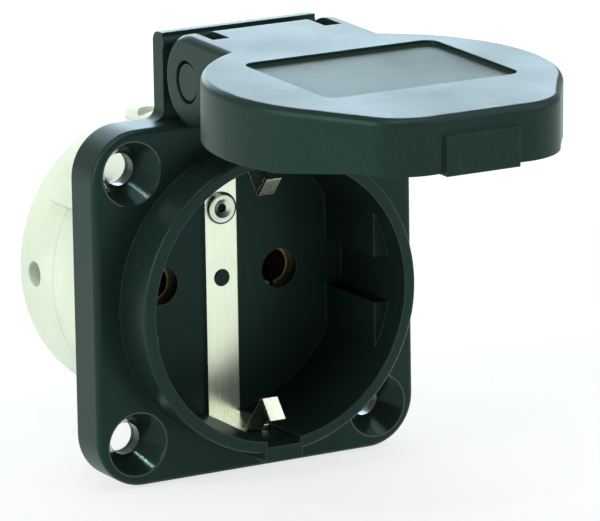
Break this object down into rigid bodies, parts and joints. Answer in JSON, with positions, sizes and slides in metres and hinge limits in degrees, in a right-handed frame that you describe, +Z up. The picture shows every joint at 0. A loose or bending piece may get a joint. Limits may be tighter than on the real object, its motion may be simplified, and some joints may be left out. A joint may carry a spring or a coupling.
{
  "type": "panel socket outlet",
  "caption": "Square-flange panel socket with a round plug recess, side earth clips, an ivory rear terminal body and a hinged, sealed lid standing open",
  "frame": {"origin": "middle of the flange's rear mounting face", "axes": "X to the right seen from the front, front faces -Y, Z up toward the lid hinge"},
  "size_m": [0.05, 0.0914, 0.0629],
  "materials": {
    "black_plastic": "satin moulded, fine grain",
    "lid_plastic": "satin moulded, fine grain",
    "seal_rubber": "dull",
    "nickel_strip": "bright nickel plate",
    "nickel_rivet": "bright nickel plate, rolled edge",
    "brass": "plain pressed",
    "spring_steel": "plain",
    "zinc_steel": "bright zinc plate",
    "ivory_plastic": "satin moulded",
    "black_pin": "glossy black"
  },
  "bodies": {
    "socket": {"front_housing": "black_plastic", "panel_seal": "seal_rubber", "earth_strap": "nickel_strip", "strap_rivet": "nickel_rivet", "earth_lug": "brass", "contact_left": "brass", "contact_right": "brass", "contact_spring_left": "spring_steel", "contact_spring_right": "spring_steel", "terminal_left": "brass", "terminal_right": "brass", "terminal_earth": "brass", "terminal_screws": "zinc_steel", "contact_base": "ivory_plastic", "terminal_cover": "ivory_plastic", "cover_screws": "zinc_steel"},
    "lid": {"lid": "lid_plastic", "lid_seal": "seal_rubber", "hinge_pin": "black_pin"}
  },
  "joints": [
    {"name": "lid_hinge", "type": "hinge", "parent": "socket", "child": "lid", "pos_m": [0, -0.0095, 0.0315], "axis": [1, 0, 0], "range_deg": [0, 88.5]}
  ]
}
